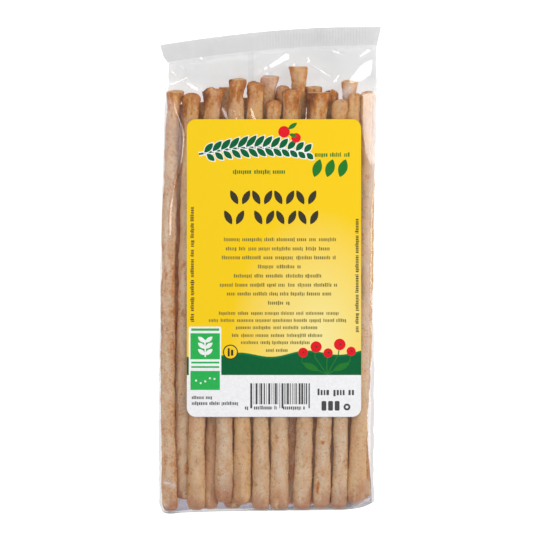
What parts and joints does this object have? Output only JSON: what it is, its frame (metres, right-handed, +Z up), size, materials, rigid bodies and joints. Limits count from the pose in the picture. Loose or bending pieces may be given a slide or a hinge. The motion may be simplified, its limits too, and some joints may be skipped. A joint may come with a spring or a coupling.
{
  "type": "bag of grissini breadsticks",
  "caption": "Clear flat film bag packed with long sesame grissini, closed by a crimped seal at the top, with a large yellow label stuck on its front, lying on its back.",
  "frame": {"origin": "middle of the pack's footprint, on the surface that the pack lies on", "axes": "+X across the pack to the right as the label is seen, +Y along the sticks towards the top seal, +Z up, out of the label's face"},
  "size_m": [0.1108, 0.2426, 0.0179],
  "materials": {
    "film": "clear, glossy, thin and creased",
    "label": "printed adhesive label with a satin face",
    "bread": "dry baked crust, matte, with specks and browner ends"
  },
  "bodies": {
    "root": {"bag": "film", "label": "label"}
  },
  "joints": []
}
